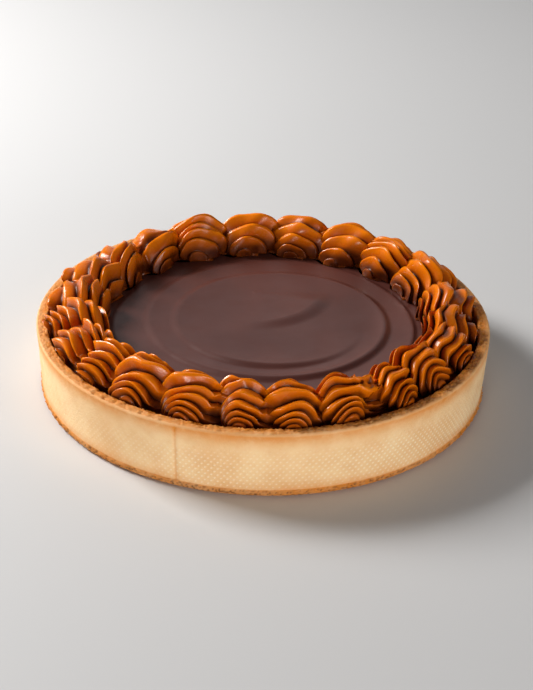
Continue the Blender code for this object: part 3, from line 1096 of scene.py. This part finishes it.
    def crumpled(self, along: np.ndarray, up: np.ndarray,
                 across: np.ndarray) -> tuple[np.ndarray, np.ndarray, np.ndarray]:
        """Pull the end out and leave it torn.

        Args:
            along: distance along the ring in metres.
            up: height over the ganache in metres.
            across: distance outward from the ring's line in metres.

        Returns:
            Along, up and across of the torn form.
        """
        along = along + self.torn_pull * np.clip(along - self.torn_from, 0.0, None)
        top = smooth((up - self.crumple_up[0]) / self.crumple_up[1])
        top = top * smooth((along - self.crumple_along[0]) / self.crumple_along[1])
        aside, ahead, folds = self.crumples
        across = across + aside * top * wobble(Seed.TORN_ASIDE, along * 300.0, across * 360.0, waves=6)
        along = along + ahead * top * wobble(Seed.TORN_AHEAD, along * 300.0, across * 360.0, waves=6)
        fold = np.abs(wobble(Seed.TORN_FOLDS, along * 380.0, across * 480.0, waves=6))
        up = up + folds * top * (0.6 - 1.6 * fold)
        for at, side, peak, spread in self.torn_peaks:
            away = np.hypot(along - at, across - side) / spread
            up = up + np.clip(peak - up, 0.0, None) * np.exp(-(away ** 1.4)) * top
        return along, up, across

    def bent(self, along: np.ndarray, up: np.ndarray, across: np.ndarray) -> np.ndarray:
        """Uneven form, then bend round the tart.

        Args:
            along: distance along the ring in metres.
            up: height over the ganache in metres.
            across: distance outward from the ring's line in metres.

        Returns:
            Points with x, y, z last.
        """
        across = across + self.lean * up + self.skew * (along - self.head_along)
        across = across + self.sway * np.sin(along * 300.0 + self.wave[0] + up * 250.0)
        across = np.where(across > 0.0, across * self.flare, across)
        ripple = self.ripple * np.sin(along * 320.0 + across * 280.0 + self.wave[1])
        up = up + ripple * np.clip(up / self.head_up, 0.0, 1.0)
        if self.ending is Ending.TORN:
            along, up, across = self.crumpled(along, up, across)
        angle = math.radians(self.start_deg) + along * self.long / self.ring_radius
        z = self.base + np.maximum(up * self.tall, 0.0)
        room = np.maximum(z - self.rim_height - self.rim_clearance, 0.0)
        radius = np.minimum(self.ring_radius + across, self.inside_limit + room)
        return np.stack([radius * np.cos(angle), radius * np.sin(angle), z], axis=-1)

    def build(self, finish: bpy.types.Material) -> bpy.types.Object:
        """Make the shell.

        Args:
            finish: the caramel material.

        Returns:
            The piece that stands for this shell.
        """
        # Here crest is the painted light mark, not the ridge height.
        along, up, across, crest = self.surface()
        rows = along.shape[0]
        foot = np.linspace(*self.foot_line, rows)[:, None]
        alongs, ups, acrosses, crests = [along], [up], [across], [crest]
        for column, steps in ((slice(-1, None), self.outer_skirt), (slice(0, 1), self.inner_skirt)):
            for share, inset in steps:
                alongs.append(along[:, column] * (1.0 - share) + foot * share)
                ups.append(up[:, column] * (1.0 - share))
                acrosses.append(across[:, column] * inset)
                # The skirts get an even painted shade.
                crests.append(np.full((rows, 1), self.skirt_shade))
        grid = self.bent(np.hstack(alongs), np.hstack(ups), np.hstack(acrosses))
        hubs = np.array([grid[0].mean(axis=0), grid[-1].mean(axis=0)])
        # The hubs get painted shade too.
        marks = {"ridge": np.concatenate([np.hstack(crests).ravel(), [self.hub_shade] * len(hubs)])}
        piece = new_piece(f"caramel_shell_{self.index + 1:02d}", grid.reshape(-1, 3), grid.shape[1], hubs,
                          finish, marks)
        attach(piece, "root")
        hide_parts(f"shell_{self.index + 1:02d}")
        return piece


@dataclass
class PipingRing:
    """Ring of piped shells on the ganache, inside the rim; the last one ends torn."""

    starts_deg: tuple[float, ...] = (
        304.0, 315.8, 330.3, 345.0, 360.0, 376.0, 394.0, 411.0, 428.0, 445.6, 464.0, 482.5,
        498.0, 513.0, 528.0, 544.0, 558.5, 572.5, 587.0, 602.6, 618.0, 631.0, 645.3,
    )
    finish: PipedCaramel = field(default_factory=PipedCaramel)

    def build(self) -> list[bpy.types.Object]:
        """Make every shell in turn.

        Returns:
            The shells, in order round the ring.
        """
        material = self.finish.material()
        ends = (*self.starts_deg[1:], self.starts_deg[0] + 360.0)
        last = len(self.starts_deg) - 1
        return [
            PipedShell(i, start, end, Ending.TORN if i == last else Ending.TUCKED).build(material)
            for i, (start, end) in enumerate(zip(self.starts_deg, ends))
        ]


@dataclass(frozen=True)
class Lamp:
    """Soft square lamp that faces the tart."""

    name: str
    at: tuple[float, float, float]
    size: float
    power: float
    tint: tuple[float, float, float]
    aim: tuple[float, float, float] = (0.0, 0.0, 30.0 * MM)

    def build(self) -> None:
        """Hang the lamp."""
        light = bpy.data.lights.new(self.name, "AREA")
        light.energy, light.size, light.color = self.power, self.size, self.tint
        lamp = bpy.data.objects.new(self.name, light)
        lamp.location = self.at
        lamp.rotation_euler = (Vector(self.aim) - Vector(self.at)).to_track_quat("-Z", "Y").to_euler()
        bpy.context.collection.objects.link(lamp)


@dataclass
class Studio:
    """Pale floor, soft light and the camera."""

    floor_half: float = 6.0
    lamps: tuple[Lamp, ...] = (
        Lamp("key_left", (-0.95, 0.50, 0.72), 0.46, 25.5, (1.0, 0.98, 0.955)),
        Lamp("fill_front", (-0.45, -1.5, 0.12), 0.4, 12.0, (1.0, 0.975, 0.945)),
        Lamp("fill_right", (1.15, -1.0, 0.30), 0.5, 9.0, (1.0, 0.97, 0.94)),
        Lamp("wall_glow", (0.1, 2.0, 1.05), 1.7, 4.1, (0.98, 0.99, 1.0)),
    )
    surround_tone: tuple[float, float, float, float] = (0.97, 0.98, 1.0, 1.0)
    surround_strength: float = 0.10
    camera_at: tuple[float, float, float] = (1.938 * MM, -707.762 * MM, 407.697 * MM)
    elevation_deg: float = 28.90
    roll_deg: float = 1.63
    focal_px: float = 1553.6
    frame_px: tuple[int, int] = (533, 690)
    sensor_height: float = 36.0
    clip_start: float = 10.0 * MM
    finish: PaleFloor = field(default_factory=PaleFloor)

    def build(self) -> None:
        """Set the floor, the lights and the camera."""
        self.floor()
        for lamp in self.lamps:
            lamp.build()
        self.world()
        self.camera()

    def floor(self) -> None:
        """Lay the floor."""
        mesh = bpy.data.meshes.new("floor")
        half = self.floor_half
        corners = [(-half, -half, 0.0), (half, -half, 0.0), (half, half, 0.0), (-half, half, 0.0)]
        mesh.from_pydata(corners, [], [(0, 1, 2, 3)])
        mesh.materials.append(self.finish.material())
        floor = bpy.data.objects.new("floor", mesh)
        bpy.context.collection.objects.link(floor)

    def world(self) -> None:
        """Set the even white surroundings."""
        world = bpy.data.worlds.new("surroundings")
        world.use_nodes = True
        back = world.node_tree.nodes["Background"]
        back.inputs["Color"].default_value = self.surround_tone
        back.inputs["Strength"].default_value = self.surround_strength
        bpy.context.scene.world = world
        bpy.context.scene.view_settings.view_transform = "Standard"

    def camera(self) -> None:
        """Stand the camera where the picture was taken."""
        data = bpy.data.cameras.new("camera")
        data.sensor_fit = "VERTICAL"
        data.sensor_height = self.sensor_height
        data.lens = self.focal_px * self.sensor_height / self.frame_px[1]
        data.clip_start = self.clip_start
        camera = bpy.data.objects.new("camera", data)
        tilt = Matrix.Rotation(math.radians(90.0 - self.elevation_deg), 4, "X")
        roll = Matrix.Rotation(math.radians(self.roll_deg), 4, "Z")
        camera.matrix_world = Matrix.Translation(self.camera_at) @ tilt @ roll
        bpy.context.collection.objects.link(camera)
        bpy.context.scene.camera = camera


def main() -> None:
    """Dress the tart and set the studio."""
    logging.basicConfig(level=logging.INFO, format="%(name)s: %(message)s")
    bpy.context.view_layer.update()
    for part in (CrustCup(), Filling(), PipingRing()):
        for piece in part.build():
            LOG.info("%s: %d faces", piece.name, len(piece.data.polygons))
    Studio().build()


if __name__ == "__main__":
    main()
